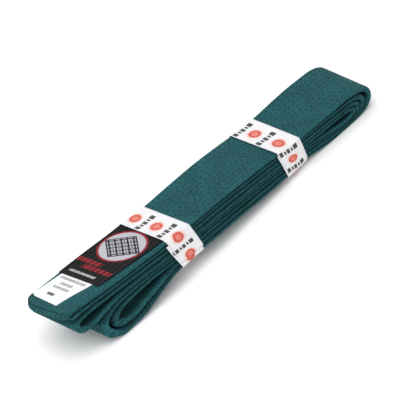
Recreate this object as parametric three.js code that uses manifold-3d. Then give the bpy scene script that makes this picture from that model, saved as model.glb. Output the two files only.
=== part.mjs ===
// Martial arts belt, folded into a flat bundle of eight runs and held by two paper bands.
// Millimetres. X runs along the bundle (towards the four nested folds), Y across it, +Z up.
// The belt is one long flat strip: a cotton cover wrapped round two interlining plies.
// Its path is drawn in the X-Z plane, extruded across Y, and then each run is shifted
// sideways a little, because the runs of a folded bundle fan out.

import * as THREE from 'three';
import { mergeVertices } from 'three/addons/utils/BufferGeometryUtils.js';
import Module from 'manifold-3d';

// ---------------------------------------------------------------- driving dimensions
const BELT_WIDTH = 39.6;          // finished width of the belt
const RUN_THICKNESS = 1.4;        // one run pressed in the bundle
const COVER_WALL = 0.28;          // cover cloth
const PLY_THICKNESS = 0.3;        // one interlining ply
const PLY_GAP = 0.1;              // air between the two plies
const COVER_EDGE = 0.6;           // cover cloth where it folds round the plies' edges
const PLY_SIDE_CLEARANCE = 0.7;   // ply edge to the inside of the cover
const END_WALL = 0.9;             // cover cloth turned in at each end
const SEAM_Y = -9;                // where the wrapped cover meets itself, on the under face
const SEAM_WIDTH = 0.3;
const HINGE_X = -58.95;           // line at which the loose labelled end bends up
const HINGE_GAP = 0.3;
const FLOOR_LIFT = 24.3;          // path height to floor height at X = FLOOR_REF
const FLOOR_REF = -105;
const FLOOR_SLOPE = 0.03886;      // the bundle is thicker at its open end, so its top slopes
const BAND_WIDTH = 19.2;
const LOWER_BAND_X = -48.0;       // band centre
const UPPER_BAND_X = 47.3;
const PAPER = 0.22;               // band paper
const PAPER_CLEARANCE = 0.35;     // paper to cloth
const OVERLAP_GAP = 0.3;          // between the two glued layers of a band
const LABEL_THICKNESS = 0.35;
const THREAD = 0.3;
const TOUCH = 0.12;               // clearance between pieces that lie on each other

// Path height at which the bottom run's under face lies on the floor.
const onFloor = (x) => RUN_THICKNESS / 2 - FLOOR_LIFT + FLOOR_SLOPE * (x - FLOOR_REF);

// Path of the belt's middle line, in order from the labelled end to the plain end.
// [x, height]; heights are measured in the bundle's own frame, before the floor slope.
const PATH_TIP = [                 // loose labelled end, from its tip to the hinge line
  [-139, 1.5], [-128, 1.4], [-116, 1.0], [-104, 0.5], [-90, 0.1], [-76, -0.2], [-62, -0.3],
];
const PATH_BODY = [
  // run 1, on top
  [-54, -0.3], [-42, -0.3], [-34, -0.25], [-24, 0.1], [-8, 0.5], [8, 0.6], [24, 0.3], [36, -0.2], [48, -0.25], [59, -0.2], [68, 0.3],
  [80, 0.8], [92, 1.0], [101, 0.6], [108, -0.5], [113.5, -2.4], [117.3, -4.8],
  // outermost far fold
  [118.8, -7.4], [117.9, -10.4], [114.2, -13.0], [107.5, -14.8],
  // run 8, at the bottom, with a flat stretch that stands on the floor
  [98.5, onFloor(98.5)], [80, onFloor(80)], [69, -15.75], [59, -14.6], [48, -14.4], [36, -14.35], [24, -14.1], [8, -13.5], [-8, -13.1], [-24, -12.75],
  [-36, -12.45], [-50, -12.35], [-60, -12.5], [-66, -13.5], [-74, -15.7], [-84, -18.8], [-93, -21.6], [-102.5, onFloor(-102.5)],
  // near fold 2, outer layer, with a flat stretch on the floor
  [-108.5, onFloor(-108.5)], [-113.6, -22.0], [-117.4, -19.4], [-118.6, -16.4], [-116.9, -13.4], [-112.4, -11.2],
  // run 5
  [-106, -9.8], [-98, -8.7], [-88, -7.95], [-76, -7.5], [-62, -7.22], [-48, -7.22], [-36, -7.2], [-20, -7.2], [0, -7.5], [20, -7.9], [36, -8.3],
  [48, -8.35], [59, -8.35], [66, -8.95], [75, -9.6], [85, -10.15], [93, -10.3], [99, -10.1],
  // innermost far fold
  [103.2, -9.6], [104.6, -8.4], [103.2, -7.2], [98, -6.5],
  // run 4
  [90, -6.3], [80, -6.25], [68, -6.35], [59, -6.3], [48, -6.3], [36, -6.25], [20, -5.9], [0, -5.6], [-20, -5.4], [-36, -5.45], [-48, -5.49], [-62, -5.49],
  [-76, -5.6], [-88, -5.95], [-98, -6.6], [-108, -7.6], [-116, -8.9], [-123, -9.9],
  // near fold 1
  [-129, -10.0], [-133.2, -9.1], [-135, -7.3], [-134.2, -5.4], [-130.8, -4.0], [-125, -3.5],
  // run 3
  [-116, -3.4], [-104, -3.5], [-90, -3.6], [-76, -3.7], [-62, -3.76], [-48, -3.76], [-36, -3.72], [-20, -3.5], [0, -3.6], [20, -3.85], [36, -4.2],
  [48, -4.26], [59, -4.26], [68, -4.1], [80, -3.85], [92, -3.85], [99, -4.05], [104.2, -4.9], [107.6, -6.3],
  // third far fold
  [109.0, -8.3], [107.6, -10.4], [103.8, -11.7], [98, -12.2],
  // run 6
  [90, -12.2], [80, -11.95], [70, -11.4], [64, -10.85], [59, -10.38], [48, -10.38], [36, -10.3], [20, -9.8], [0, -9.35], [-20, -9.05], [-36, -8.95],
  [-48, -8.95], [-62, -8.95], [-76, -9.4], [-88, -10.1], [-98, -11.1], [-105.6, -12.5],
  // near fold 2, inner layer
  [-110.2, -14.1], [-112.8, -16.4], [-112.0, -18.8], [-108.9, -20.8], [-103.8, -21.6],
  // run 7
  [-97.2, -20.7], [-90, -18.6], [-82, -16.1], [-73, -13.6], [-66, -11.8], [-60, -10.75], [-48, -10.64], [-36, -10.7], [-20, -10.9], [0, -11.4], [20, -11.95],
  [36, -12.35], [48, -12.4], [59, -12.4], [66, -13.0], [74, -13.55], [85, -14.05], [95, -13.95], [103.2, -13.3], [109.2, -12.2],
  // second far fold
  [113.0, -10.2], [114.2, -7.4], [112.8, -4.9], [109.4, -3.3],
  // run 2, ending under the labelled end
  [104, -2.2], [95, -1.5], [82, -1.4], [70, -1.8], [59, -2.23], [48, -2.23], [36, -2.2], [20, -1.85], [0, -1.5], [-20, -1.7], [-36, -2.0], [-48, -2.03],
  [-62, -2.03], [-76, -1.98], [-90, -1.85], [-104, -1.6], [-116, -1.3], [-128, -1.1], [-140, -1.0],
];

// Sideways fan: the bottom run sits this far towards -Y, the top run not at all.
const FAN = [[-139, 11.5], [-57, 10.9], [-38, 9.0], [37, 3.7], [57, 2.0], [120, 1.0]];

// ---------------------------------------------------------------- helpers
const floorHeight = (x, z) => z + FLOOR_LIFT - FLOOR_SLOPE * (x - FLOOR_REF);

function lerpTable(table, x) {
  if (x <= table[0][0]) return table[0][1];
  for (let i = 1; i < table.length; i++) {
    if (x <= table[i][0]) {
      const t = (x - table[i - 1][0]) / (table[i][0] - table[i - 1][0]);
      return table[i - 1][1] + t * (table[i][1] - table[i - 1][1]);
    }
  }
  return table[table.length - 1][1];
}

// Lateral place of the belt's middle at a point of the path.
function lateral(x, z) {
  const top = 0.3, bottom = -14 - 9 * THREE.MathUtils.clamp((-x - 62) / 40, 0, 1);
  const depth = THREE.MathUtils.clamp((top - z) / (top - bottom), 0, 1);
  return -lerpTable(FAN, x) * depth;
}

// Stations along a path: place in the floor's frame, miter normal (points to the side that is up on run 1).
function stations(path) {
  const pts = path.map(([x, z]) => ({ x, z: floorHeight(x, z), y: lateral(x, z) }));
  return pts.map((p, i) => {
    const a = pts[Math.max(i - 1, 0)], b = pts[Math.min(i + 1, pts.length - 1)];
    const t0 = new THREE.Vector2(p.x - a.x, p.z - a.z), t1 = new THREE.Vector2(b.x - p.x, b.z - p.z);
    if (i === 0) t0.copy(t1);
    if (i === pts.length - 1) t1.copy(t0);
    t0.normalize(); t1.normalize();
    const t = t0.clone().add(t1).normalize();
    const n = new THREE.Vector2(-t.y, t.x);
    const scale = 1 / Math.max(0.85, n.dot(new THREE.Vector2(-t0.y, t0.x)));
    return { x: p.x, z: p.z, y: p.y, tx: t.x, tz: t.y, nx: n.x * scale, nz: n.y * scale };
  });
}

// A copy of the stations with both ends drawn in by the given lengths.
function drawnIn(st, atStart, atEnd) {
  const out = st.map((s) => ({ ...s }));
  const first = out[0], last = out[out.length - 1];
  first.x += first.tx * atStart; first.z += first.tz * atStart;
  last.x -= last.tx * atEnd; last.z -= last.tz * atEnd;
  return out;
}

// Strip solid: from offset v0 to v1 along the normals, from y0 to y1 across the belt. A box with
// one length segment for each step of the path is bent along the stations.
function strip(st, v0, v1, y0, y1) {
  const steps = st.length - 1;
  const g = new THREE.BoxGeometry(steps, 1, 1, steps, 1, 1);
  const pos = g.attributes.position;
  for (let i = 0; i < pos.count; i++) {
    const s = st[Math.round(pos.getX(i) + steps / 2)];
    const v = pos.getZ(i) > 0 ? v1 : v0;
    const y = pos.getY(i) > 0 ? y1 : y0;
    pos.setXYZ(i, s.x + s.nx * v, s.y + y, s.z + s.nz * v);
  }
  return clean(g);
}

function clean(g) {
  g.deleteAttribute('normal');
  g.deleteAttribute('uv');
  const m = mergeVertices(g, 1e-4);
  return m;
}

const wasm = await Module();
wasm.setup();
const { Manifold, Mesh: MMesh } = wasm;
function toSolid(g) {
  return new Manifold(new MMesh({
    numProp: 3,
    vertProperties: new Float32Array(g.attributes.position.array),
    triVerts: new Uint32Array(g.index.array),
  }));
}
function toGeometry(solid) {
  const m = solid.getMesh();
  const g = new THREE.BufferGeometry();
  const v = new Float32Array(m.numVert * 3);
  for (let i = 0; i < m.numVert; i++) for (let k = 0; k < 3; k++) v[3 * i + k] = m.vertProperties[m.numProp * i + k];
  g.setAttribute('position', new THREE.BufferAttribute(v, 3));
  g.setIndex(Array.from(m.triVerts));
  return g;
}

const group = new THREE.Group();
const material = (hex, roughness = 0.9, metalness = 0) => new THREE.MeshStandardMaterial({ color: hex, roughness, metalness });
const cloth = () => material(0x1f5a5a, 0.92);
const canvas = () => material(0xd9d4c6, 0.95);
function add(name, geometry, mat) {
  geometry.computeVertexNormals();
  const mesh = new THREE.Mesh(geometry, mat);
  mesh.name = name;
  group.add(mesh);
  return mesh;
}

// ---------------------------------------------------------------- belt
const half = BELT_WIDTH / 2;
const T = RUN_THICKNESS / 2;

const tipStations = stations([...PATH_TIP, [HINGE_X - HINGE_GAP / 2, -0.3]]);
const bodyStations = stations([[HINGE_X + HINGE_GAP / 2, -0.3], ...PATH_BODY]);

// Cover: a strip of cloth wrapped round the plies and closed at both ends, with its seam left
// as a narrow slit along the under face.
function cover(st) {
  const outer = toSolid(strip(st, -T, T, -half, half));
  const inside = drawnIn(st, END_WALL, END_WALL);
  const hollow = toSolid(strip(inside, -T + COVER_WALL, T - COVER_WALL, -half + COVER_EDGE, half - COVER_EDGE));
  const slit = toSolid(strip(inside, -T - 0.08, -T + COVER_WALL + 0.1, SEAM_Y - SEAM_WIDTH / 2, SEAM_Y + SEAM_WIDTH / 2));
  return toGeometry(outer.subtract(hollow).subtract(slit));
}
add('belt_cover', cover(bodyStations), cloth());
add('tip_cover', cover(tipStations), cloth());

const plyHalf = half - COVER_EDGE - PLY_SIDE_CLEARANCE;
const plyEnd = END_WALL + 0.4;
function plies(st, upperName, lowerName) {
  const inside = drawnIn(st, plyEnd, plyEnd);
  add(upperName, strip(inside, PLY_GAP / 2, PLY_GAP / 2 + PLY_THICKNESS, -plyHalf, plyHalf), canvas());
  add(lowerName, strip(inside, -PLY_GAP / 2 - PLY_THICKNESS, -PLY_GAP / 2, -plyHalf, plyHalf), canvas());
}
plies(bodyStations, 'core_ply_outer', 'core_ply_inner');
plies(tipStations, 'tip_core_ply_upper', 'tip_core_ply_lower');

// ---------------------------------------------------------------- labels and their stitching
// Part of the loose end's stations between two X places, for pieces that lie on its top face.
function between(st, x0, x1) {
  const at = (x) => {
    for (let i = 1; i < st.length; i++) {
      if (x <= st[i].x) {
        const a = st[i - 1], b = st[i], f = (x - a.x) / (b.x - a.x);
        const mix = (k) => a[k] + f * (b[k] - a[k]);
        return { x, z: mix('z'), y: mix('y'), tx: mix('tx'), tz: mix('tz'), nx: mix('nx'), nz: mix('nz') };
      }
    }
    return { ...st[st.length - 1], x };
  };
  return [at(x0), ...st.filter((s) => s.x > x0 + 0.5 && s.x < x1 - 0.5), at(x1)];
}
const labelBase = T + TOUCH;
const labelTop = labelBase + LABEL_THICKNESS;
const WOVEN = { x0: -107.3, x1: -60.0, y0: -16.4, y1: 18.9 };
const SIZE = { x0: -129.8, x1: -107.8, y0: -5.2, y1: 18.3 };

add('woven_label', strip(between(tipStations, WOVEN.x0, WOVEN.x1), labelBase, labelTop, WOVEN.y0, WOVEN.y1), material(0x17161a, 0.7));
add('size_label', strip(between(tipStations, SIZE.x0, SIZE.x1), labelBase, labelTop, SIZE.y0, SIZE.y1), material(0xf2f2f2, 0.45));

// One thread round the woven label's edge, standing on its face.
function threadFrame(box, inset, v0) {
  const o = toSolid(strip(between(tipStations, box.x0 + inset, box.x1 - inset), v0, v0 + THREAD, box.y0 + inset, box.y1 - inset));
  const w = 0.5;
  const i = toSolid(strip(between(tipStations, box.x0 + inset + w, box.x1 - inset - w), v0 - 0.2, v0 + THREAD + 0.2, box.y0 + inset + w, box.y1 - inset - w));
  return toGeometry(o.subtract(i));
}
add('woven_label_stitching', threadFrame(WOVEN, 0.8, labelTop + TOUCH), material(0x101014, 0.8));
add('size_label_stitching', strip(between(tipStations, SIZE.x1 - 1.6, SIZE.x1 - 1.1), labelTop + TOUCH, labelTop + TOUCH + THREAD, SIZE.y0 + 0.8, SIZE.y1 - 0.8), material(0xe6e6e6, 0.8));
// Closing rows across the two ends of the belt.
add('tip_hem_stitching', strip(between(tipStations, -134.6, -134.1), T + TOUCH, T + TOUCH + THREAD, -half + 1, half - 1), material(0x173f42, 0.85));

const plainEnd = bodyStations.slice(-2).reverse().map((s) => ({ ...s, tx: -s.tx, tz: -s.tz, nx: -s.nx, nz: -s.nz }));
add('plain_end_hem_stitching', strip(between(plainEnd, -136.2, -135.7), T + TOUCH, T + TOUCH + THREAD, -half + 1, half - 1), material(0x173f42, 0.85));

// ---------------------------------------------------------------- paper bands
// A band is one strip of paper wound once round the bundle, parallel to its slope. Its ends
// overlap on the -Y side, with glue between them. It clears the cloth over its whole travel.
function bundleSection(x0, x1) {
  const pts = [];
  for (const st of [tipStations, bodyStations]) {
    for (let i = 1; i < st.length; i++) {
      const a = st[i - 1], b = st[i];
      const xs = [a.x, b.x, x0, x1].filter((x) => x >= Math.min(a.x, b.x) - 1e-6 && x <= Math.max(a.x, b.x) + 1e-6 && x >= x0 && x <= x1);
      for (const x of xs) {
        const f = Math.abs(b.x - a.x) < 1e-6 ? 0 : (x - a.x) / (b.x - a.x);
        const z = a.z + f * (b.z - a.z) + FLOOR_SLOPE * x, y = a.y + f * (b.y - a.y);
        for (const sy of [-1, 1]) for (const sz of [-1, 1]) pts.push(new THREE.Vector2(y + sy * half, z + sz * T * 1.02));
      }
    }
  }
  return pts;
}
// Corner where two lines {n, d} (points p with n.p = d) meet.
function meet(l, m) {
  const det = l.n.x * m.n.y - l.n.y * m.n.x;
  return new THREE.Vector2((l.d * m.n.y - m.d * l.n.y) / det, (l.n.x * m.d - m.n.x * l.d) / det);
}
function bandLoop(x0, x1) {
  const pts = bundleSection(x0, x1);
  const zs = pts.map((p) => p.y), zTop = Math.max(...zs), zBot = Math.min(...zs);
  // lean of the stack: middle of the top layer's section to the middle of the bottom layer's
  const mid = (f) => { const q = pts.filter(f).map((p) => p.x); return (Math.min(...q) + Math.max(...q)) / 2; };
  const lean = (mid((p) => p.y > zTop - 1.6) - mid((p) => p.y < zBot + 1.6)) / (zTop - zBot - 1.4);
  const upTheSide = new THREE.Vector2(lean, 1).normalize();
  const wall = (n) => ({ n, d: Math.max(...pts.map((p) => n.dot(p))) + PAPER_CLEARANCE });
  const bottom = wall(new THREE.Vector2(0, -1)), top = wall(new THREE.Vector2(0, 1));
  const left = wall(new THREE.Vector2(upTheSide.y, -upTheSide.x)), right = wall(new THREE.Vector2(-upTheSide.y, upTheSide.x));
  return { br: meet(bottom, right), bl: meet(bottom, left), tl: meet(top, left), tr: meet(top, right) };
}
const BEVEL = 0.8;                                        // corner of the folded paper
function outward(line, by) {
  const n = line.length;
  return line.map((p, i) => {
    const d0 = i > 0 ? p.clone().sub(line[i - 1]).normalize() : null;
    const d1 = i < n - 1 ? line[i + 1].clone().sub(p).normalize() : null;
    const t = (d0 ?? d1).clone().add(d1 ?? d0).normalize();
    const out = new THREE.Vector2(t.y, -t.x);
    const s = 1 / Math.max(0.5, out.dot(new THREE.Vector2((d0 ?? d1).y, -(d0 ?? d1).x)));
    return p.clone().addScaledVector(out, by * s);
  });
}
// Outline in (y, z) extruded along X and laid parallel to the bundle's slope.
function extrudeAlongX(outline, x0, x1) {
  const g = new THREE.ExtrudeGeometry(new THREE.Shape(outline), { depth: x1 - x0, bevelEnabled: false, steps: 1, curveSegments: 1 });
  g.applyMatrix4(new THREE.Matrix4().makeBasis(new THREE.Vector3(0, 1, 0), new THREE.Vector3(0, 0, 1), new THREE.Vector3(1, 0, 0)));
  g.translate(x0, 0, 0);
  const pos = g.attributes.position;
  for (let i = 0; i < pos.count; i++) pos.setZ(i, pos.getZ(i) - FLOOR_SLOPE * pos.getX(i));
  return clean(g);
}
function makeBand(name, centre, travelBack, travelOn) {
  const x0 = centre - BAND_WIDTH / 2, x1 = centre + BAND_WIDTH / 2;
  const c = bandLoop(x0 - travelBack, x1 + travelOn);
  const cut = (a, b) => a.clone().add(b.clone().sub(a).normalize().multiplyScalar(BEVEL));   // point near corner a, towards b
  const sideAt = (f) => c.tr.clone().lerp(c.br, f);
  const down = c.br.clone().sub(c.tr).normalize();
  const out = new THREE.Vector2(down.y, -down.x);         // away from the bundle on the -Y side
  const k = PAPER + OVERLAP_GAP;
  const line = [sideAt(0.4), cut(c.br, c.tr), cut(c.br, c.bl), cut(c.bl, c.br), cut(c.bl, c.tl), cut(c.tl, c.bl), cut(c.tl, c.tr), cut(c.tr, c.tl), cut(c.tr, c.br),
    sideAt(0.3).addScaledVector(out, k), sideAt(0.82).addScaledVector(out, k)];
  const outline = [...outward(line, PAPER), ...line.slice().reverse()];
  add(name, extrudeAlongX(outline, x0, x1), material(0xf4f4f2, 0.6));
  const pad = [[0.46, PAPER + 0.09], [0.76, PAPER + 0.09], [0.76, k - 0.09], [0.46, k - 0.09]].map(([f, o]) => sideAt(f).addScaledVector(out, o));
  add(`${name}_glue`, extrudeAlongX(pad, x0 + 3, x1 - 3), material(0xe8e2c8, 0.4));
}
makeBand('lower_band', LOWER_BAND_X, 0, 6);
makeBand('upper_band', UPPER_BAND_X, 6, 6);

// Origin at the middle of the bounding box, on the floor.
group.updateMatrixWorld(true);
const box = new THREE.Box3().setFromObject(group);
group.position.set(-(box.min.x + box.max.x) / 2, -(box.min.y + box.max.y) / 2, -box.min.z);
group.updateMatrixWorld(true);

export default group;
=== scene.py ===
import json
import math

import bpy
import numpy as np
from mathutils import Matrix, Vector


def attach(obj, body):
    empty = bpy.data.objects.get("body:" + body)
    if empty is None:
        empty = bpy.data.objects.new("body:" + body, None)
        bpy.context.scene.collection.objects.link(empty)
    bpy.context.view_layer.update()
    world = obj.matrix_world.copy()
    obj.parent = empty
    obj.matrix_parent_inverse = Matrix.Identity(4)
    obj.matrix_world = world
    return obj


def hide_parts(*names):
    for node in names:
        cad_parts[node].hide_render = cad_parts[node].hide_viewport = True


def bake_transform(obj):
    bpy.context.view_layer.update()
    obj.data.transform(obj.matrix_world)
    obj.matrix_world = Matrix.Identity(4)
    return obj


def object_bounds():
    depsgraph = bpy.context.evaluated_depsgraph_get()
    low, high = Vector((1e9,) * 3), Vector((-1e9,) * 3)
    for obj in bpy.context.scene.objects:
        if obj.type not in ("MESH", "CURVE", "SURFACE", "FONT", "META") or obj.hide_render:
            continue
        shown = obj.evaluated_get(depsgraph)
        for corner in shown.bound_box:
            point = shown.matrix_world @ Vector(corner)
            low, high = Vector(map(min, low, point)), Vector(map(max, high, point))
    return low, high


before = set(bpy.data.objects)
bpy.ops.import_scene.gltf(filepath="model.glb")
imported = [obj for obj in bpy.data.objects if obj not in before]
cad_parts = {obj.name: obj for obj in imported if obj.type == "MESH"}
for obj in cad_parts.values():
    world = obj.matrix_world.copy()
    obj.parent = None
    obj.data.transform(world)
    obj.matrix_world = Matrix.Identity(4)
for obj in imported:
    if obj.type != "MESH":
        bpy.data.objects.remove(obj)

CAD_LO, CAD_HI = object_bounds()
MM = 0.001

# ------------------------------------------------------------------ frames
# Bundle frame (mm): x along the bundle, y across, z = 0 at the top face. The row frame is
# this one tipped by SLOPE about Y, because the bundle is thicker at its open end.
SLOPE = 0.03886
OX, OY, OZ = 10.2381, 4.6568, 24.3 - SLOPE * 105
TILT = math.atan(SLOPE)


def to_row(x, y, z):
    """Bundle frame to row frame, in mm."""
    return x + OX + SLOPE * z, y + OY, z + OZ - SLOPE * x


# ------------------------------------------------------------------ camera
def make_camera():
    az, el, roll = map(math.radians, (-37.0, 34.6, 15.3))
    dist, scale, tx, ty = 1500.0, 1.706, 10.4, 19.2
    back = np.array([math.sin(az) * math.cos(el), -math.cos(az) * math.cos(el), math.sin(el)])
    right = np.array([math.cos(az), math.sin(az), 0.0])
    up = np.cross(back, right)
    r = math.cos(roll) * right - math.sin(roll) * up
    u = math.cos(roll) * up + math.sin(roll) * right
    place = back * dist - r * (tx / scale) - u * (ty / scale)
    c, s = math.cos(TILT), math.sin(TILT)
    turn = np.array([[c, 0, s], [0, 1, 0], [-s, 0, c]])
    place = turn @ place + np.array([OX, OY, OZ])
    axes = np.stack([turn @ r, turn @ u, turn @ back], 1)
    m = np.eye(4)
    m[:3, :3] = axes
    m[:3, 3] = place * MM
    cam = bpy.data.cameras.new("camera")
    cam.sensor_width = 36.0
    cam.lens = scale * dist * 36.0 / 400.0
    cam.clip_start, cam.clip_end = 0.05, 20.0
    ob = bpy.data.objects.new("camera", cam)
    bpy.context.scene.collection.objects.link(ob)
    ob.matrix_world = Matrix(m.tolist())
    bpy.context.scene.camera = ob


make_camera()


# ------------------------------------------------------------------ node graphs
class Sock:
    """A shader value that makes a math node for each step of arithmetic."""

    def __init__(self, g, s):
        self.g, self.s = g, s

    def _op(self, op, *a, clamp=False):
        n = self.g.nt.nodes.new("ShaderNodeMath")
        n.operation, n.use_clamp = op, clamp
        for i, v in enumerate(a):
            if isinstance(v, Sock):
                self.g.nt.links.new(v.s, n.inputs[i])
            else:
                n.inputs[i].default_value = float(v)
        return Sock(self.g, n.outputs[0])

    def __add__(self, o): return self._op("ADD", self, o)
    __radd__ = __add__
    def __sub__(self, o): return self._op("SUBTRACT", self, o)
    def __rsub__(self, o): return self._op("SUBTRACT", o, self)
    def __mul__(self, o): return self._op("MULTIPLY", self, o)
    __rmul__ = __mul__
    def __truediv__(self, o): return self._op("DIVIDE", self, o)
    def mod(self, o): return self._op("FLOORED_MODULO", self, o)
    def floor(self): return self._op("FLOOR", self)
    def abs(self): return self._op("ABSOLUTE", self)
    def sin(self): return self._op("SINE", self)
    def sqrt(self): return self._op("SQRT", self)
    def max(self, o): return self._op("MAXIMUM", self, o)
    def min(self, o): return self._op("MINIMUM", self, o)
    def below(self, edge, soft):
        """1 under edge, 0 over it, with a soft step."""
        n = self.g.nt.nodes.new("ShaderNodeMapRange")
        n.interpolation_type = "SMOOTHSTEP"
        n.inputs["From Min"].default_value = edge - soft
        n.inputs["From Max"].default_value = edge + soft
        n.inputs["To Min"].default_value = 1.0
        n.inputs["To Max"].default_value = 0.0
        self.g.nt.links.new(self.s, n.inputs["Value"])
        return Sock(self.g, n.outputs["Result"])


class Graph:
    def __init__(self, name):
        self.mat = bpy.data.materials.new(name)
        self.mat.use_nodes = True
        self.nt = self.mat.node_tree
        self.bsdf = self.nt.nodes["Principled BSDF"]

    def attribute(self, name):
        n = self.nt.nodes.new("ShaderNodeAttribute")
        n.attribute_name = name
        sep = self.nt.nodes.new("ShaderNodeSeparateXYZ")
        self.nt.links.new(n.outputs["Vector"], sep.inputs[0])
        self.vector = n.outputs["Vector"]
        return [Sock(self, sep.outputs[i]) for i in range(3)]

    def combine(self, x, y, z=0.0):
        n = self.nt.nodes.new("ShaderNodeCombineXYZ")
        for i, v in enumerate((x, y, z)):
            if isinstance(v, Sock):
                self.nt.links.new(v.s, n.inputs[i])
            else:
                n.inputs[i].default_value = float(v)
        return n.outputs[0]

    def noise(self, scale, detail=2.0, rough=0.5, vector=None, distortion=0.0):
        n = self.nt.nodes.new("ShaderNodeTexNoise")
        n.inputs["Scale"].default_value = scale
        n.inputs["Detail"].default_value = detail
        n.inputs["Roughness"].default_value = rough
        n.inputs["Distortion"].default_value = distortion
        self.nt.links.new(self.vector if vector is None else vector, n.inputs["Vector"])
        return Sock(self, n.outputs[0])

    def mix(self, f, a, b):
        n = self.nt.nodes.new("ShaderNodeMix")
        n.data_type = "RGBA"
        ins = [i for i in n.inputs if i.type == "RGBA"]
        out = [o for o in n.outputs if o.type == "RGBA"][0]
        if isinstance(f, Sock):
            self.nt.links.new(f.s, n.inputs[0])
        else:
            n.inputs[0].default_value = f
        for i, v in zip(ins, (a, b)):
            if isinstance(v, (tuple, list)):
                i.default_value = (*v, 1.0)
            else:
                self.nt.links.new(v, i)
        return out

    def bump(self, height, distance, strength=1.0):
        n = self.nt.nodes.new("ShaderNodeBump")
        n.inputs["Strength"].default_value = strength
        n.inputs["Distance"].default_value = distance
        self.nt.links.new(height.s, n.inputs["Height"])
        self.nt.links.new(n.outputs[0], self.bsdf.inputs["Normal"])

    def colour(self, c):
        if isinstance(c, (tuple, list)):
            self.bsdf.inputs["Base Color"].default_value = (*c, 1.0)
        else:
            self.nt.links.new(c, self.bsdf.inputs["Base Color"])

    def rough(self, r):
        if isinstance(r, Sock):
            self.nt.links.new(r.s, self.bsdf.inputs["Roughness"])
        else:
            self.bsdf.inputs["Roughness"].default_value = r

    def set(self, **k):
        for name, v in k.items():
            self.bsdf.inputs[name.replace("_", " ")].default_value = v


def lin(r, g, b):
    return tuple((c / 255 / 12.92) if c / 255 <= 0.04045 else ((c / 255 + 0.055) / 1.055) ** 2.4 for c in (r, g, b))


# ------------------------------------------------------------------ belt path, as in part.mjs
RUN = 1.4


def on_floor(x):
    return RUN / 2 - 24.3 + SLOPE * (x + 105)


TIP = [(-139, 1.1), (-128, 1.05), (-116, 0.7), (-104, 0.25), (-90, -0.05), (-76, -0.2), (-62, -0.3)]
BODY = [
    (-54, -0.3), (-42, -0.3), (-34, -0.25), (-24, 0.1), (-8, 0.5), (8, 0.75), (24, 0.6), (36, 0.1), (48, -0.05), (61, 0.0), (69, 0.5),
    (80, 1.1), (92, 1.5), (101, 1.7), (108.5, 1.3), (114.6, 0.0), (118.8, -2.6),
    (120.3, -5.8), (119.2, -9.7), (114.9, -12.8), (107.5, -14.75),
    (98.5, on_floor(98.5)), (80, on_floor(80)), (70, -15.7), (61.5, -14.55), (48, -14.4), (36, -14.35), (24, -14.1), (8, -13.5), (-8, -13.1), (-24, -12.75),
    (-36, -12.45), (-50, -12.35), (-60, -12.5), (-66, -13.5), (-74, -15.7), (-84, -18.6), (-93, -21.2), (-102.5, on_floor(-102.5) + 1.0),
    (-108.5, on_floor(-108.5) + 1.2), (-113.4, -21.2), (-116.8, -19.0), (-117.8, -16.2), (-116.2, -13.1), (-111.6, -10.9),
    (-106, -9.4), (-98, -8.5), (-88, -7.95), (-76, -7.5), (-62, -7.22), (-48, -7.22), (-36, -7.2), (-20, -7.2), (0, -7.5), (20, -7.9), (36, -8.3),
    (48, -8.35), (59, -8.35), (66, -8.95), (75, -10.1), (85, -11.4), (93, -12.0), (99, -11.9),
    (103.6, -10.9), (105.1, -9.0), (103.4, -7.1), (98, -6.2),
    (90, -5.95), (80, -6.05), (68, -6.3), (59, -6.3), (48, -6.3), (36, -6.25), (20, -5.9), (0, -5.6), (-20, -5.4), (-36, -5.45), (-48, -5.49), (-62, -5.49),
    (-76, -5.6), (-88, -5.85), (-98, -6.3), (-107, -7.3), (-115, -8.5), (-121.5, -9.3),
    (-126.8, -9.4), (-130.9, -8.6), (-132.6, -6.8), (-131.6, -4.9), (-127.6, -3.9), (-122, -3.5),
    (-116, -3.4), (-104, -3.5), (-90, -3.6), (-76, -3.7), (-62, -3.76), (-48, -3.76), (-36, -3.72), (-20, -3.5), (0, -3.6), (20, -3.85), (36, -4.2),
    (48, -4.26), (59, -4.26), (68, -4.1), (80, -3.8), (92, -3.7), (99, -3.8), (104.8, -4.4), (108.4, -5.9),
    (109.0, -8.3), (107.6, -10.4), (104.4, -12.6), (98, -13.25),
    (90, -13.15), (80, -12.5), (70, -11.55), (64, -10.85), (59, -10.38), (48, -10.38), (36, -10.3), (20, -9.8), (0, -9.35), (-20, -9.05), (-36, -8.95),
    (-48, -8.95), (-62, -8.95), (-76, -9.4), (-88, -10.1), (-98, -11.2), (-104.6, -12.5),
    (-108.2, -14.0), (-110.2, -16.0), (-109.4, -17.9), (-106.2, -19.2), (-101.8, -19.4),
    (-96.4, -19.0), (-90, -17.5), (-82, -15.6), (-73, -13.6), (-66, -11.8), (-60, -10.75), (-48, -10.64), (-36, -10.7), (-20, -10.9), (0, -11.4), (20, -11.95),
    (36, -12.35), (48, -12.4), (59, -12.4), (66, -13.0), (74, -13.6), (85, -14.4), (95, -14.5), (103.2, -13.9), (109.2, -12.5),
    (112.9, -10.3), (114.2, -7.2), (112.9, -4.6), (109.6, -2.9),
    (104, -1.9), (95, -1.4), (82, -1.3), (70, -1.7), (59, -2.23), (48, -2.23), (36, -2.2), (20, -1.85), (0, -1.5), (-20, -1.7), (-36, -2.0), (-48, -2.03),
    (-62, -2.03), (-76, -1.98), (-90, -1.85), (-104, -1.75), (-115, -1.6), (-124, -1.55), (-134.6, -1.6),
]
FAN = [(-139, 11.5), (-57, 10.9), (-38, 9.0), (37, 3.7), (57, 1.4), (120, 1.0)]
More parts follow.
